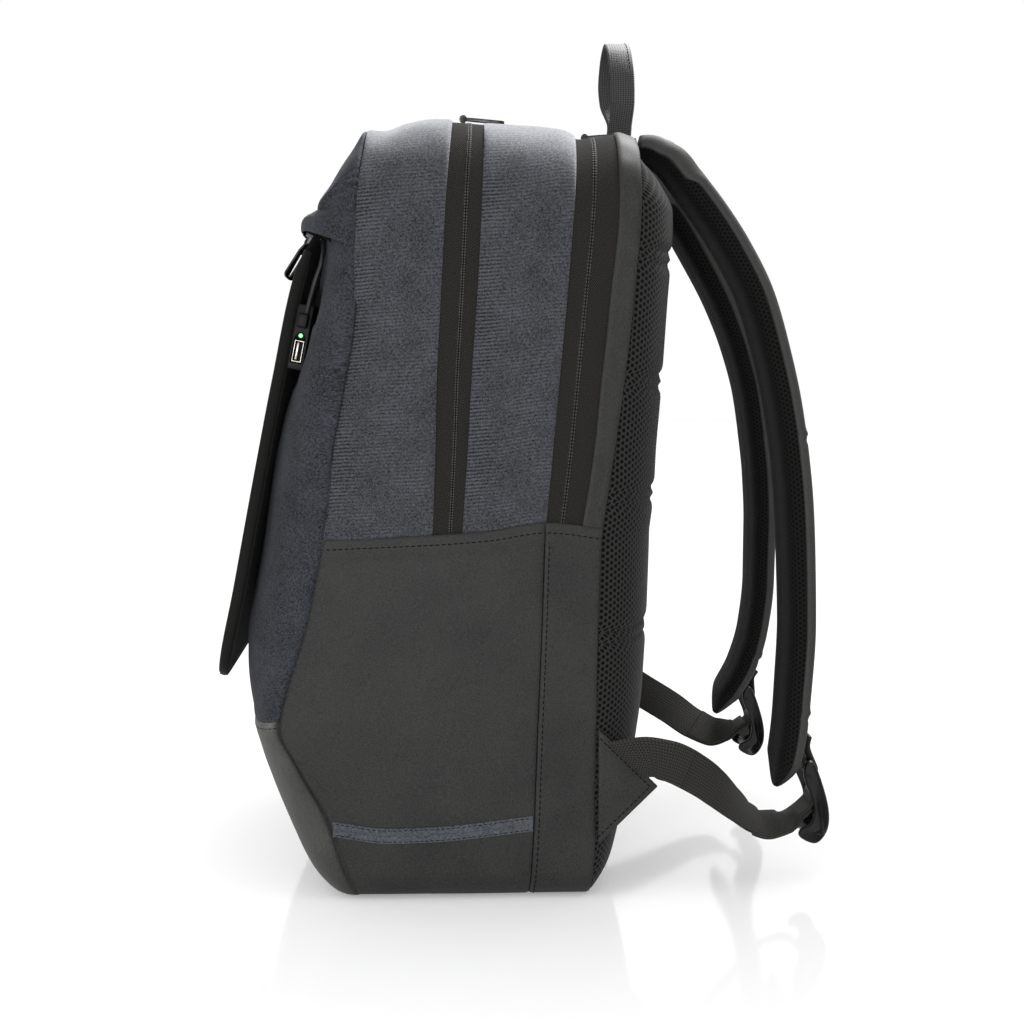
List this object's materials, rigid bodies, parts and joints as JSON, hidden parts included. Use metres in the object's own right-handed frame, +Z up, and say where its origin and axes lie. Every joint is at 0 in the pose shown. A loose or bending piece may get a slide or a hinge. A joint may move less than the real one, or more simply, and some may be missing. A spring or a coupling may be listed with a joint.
{
  "type": "backpack",
  "caption": "Tall laptop backpack with a stiff front charging flap, quilted mesh back, padded shoulder straps, webbing handle and arched zips; it stands on a flat base.",
  "frame": {"origin": "middle of the flat base, on the floor", "axes": "+Z up, front flap towards -Y, back pad and shoulder straps towards +Y, X across the bag"},
  "size_m": [0.2988, 0.3805, 0.5327],
  "materials": {
    "front_fabric": "matte",
    "side_fabric": "matte",
    "coated": "matte",
    "zip_tape": "matte",
    "air_mesh": "matte",
    "webbing": "matte",
    "flap_fabric": "matte",
    "black_plastic": "gloss",
    "cable_rubber": "satin",
    "gunmetal": "satin",
    "steel": "satin",
    "green_light": "gloss"
  },
  "bodies": {
    "bag": {"front_gusset": "side_fabric", "main_zip_tape": "zip_tape", "middle_gusset": "side_fabric", "laptop_zip_tape": "zip_tape", "back_edge": "coated", "bottom": "coated", "front_upper": "front_fabric", "front_pocket": "front_fabric", "front_lower": "coated", "hood": "front_fabric", "pocket_zip_tape": "zip_tape", "flap": "flap_fabric", "usb_box": "black_plastic", "usb_socket": "steel", "led": "green_light", "usb_plug": "black_plastic", "usb_cable": "cable_rubber", "back_pad": "air_mesh", "handle": "webbing", "side_panel_right": "coated", "side_panel_left": "coated", "rear_panel_right": "coated", "rear_panel_left": "coated", "side_stripe_right": "front_fabric", "side_stripe_left": "front_fabric", "strap_pad_right": "air_mesh", "strap_pad_left": "air_mesh", "strap_cover_right": "coated", "strap_cover_left": "coated", "strap_loop_right": "webbing", "strap_loop_left": "webbing", "buckle_right": "black_plastic", "buckle_left": "black_plastic", "lower_web_right": "webbing", "lower_web_left": "webbing", "wing_right": "coated", "wing_left": "coated", "main_slider": "gunmetal", "laptop_slider": "gunmetal", "pocket_right_slider": "gunmetal", "pocket_left_slider": "gunmetal"},
    "main_pull_tab": {"main_pull": "gunmetal"},
    "laptop_pull_tab": {"laptop_pull": "gunmetal"},
    "pocket_right_pull_tab": {"pocket_right_pull": "gunmetal"},
    "pocket_left_pull_tab": {"pocket_left_pull": "gunmetal"}
  },
  "joints": [
    {"name": "main_pull_hinge", "type": "hinge", "parent": "bag", "child": "main_pull_tab", "pos_m": [0.062, 0.0022, 0.4758], "axis": [1, 0, 0], "range_deg": [0, 170]},
    {"name": "laptop_pull_hinge", "type": "hinge", "parent": "bag", "child": "laptop_pull_tab", "pos_m": [0.036, 0.0806, 0.4676], "axis": [1, 0, 0], "range_deg": [0, 165]},
    {"name": "pocket_right_pull_hinge", "type": "hinge", "parent": "bag", "child": "pocket_right_pull_tab", "pos_m": [0.082, -0.0932, 0.3979], "axis": [1, 0, 0], "range_deg": [-90, 0]},
    {"name": "pocket_left_pull_hinge", "type": "hinge", "parent": "bag", "child": "pocket_left_pull_tab", "pos_m": [0.06, -0.0951, 0.3984], "axis": [1, 0, 0], "range_deg": [-90, 0]}
  ]
}
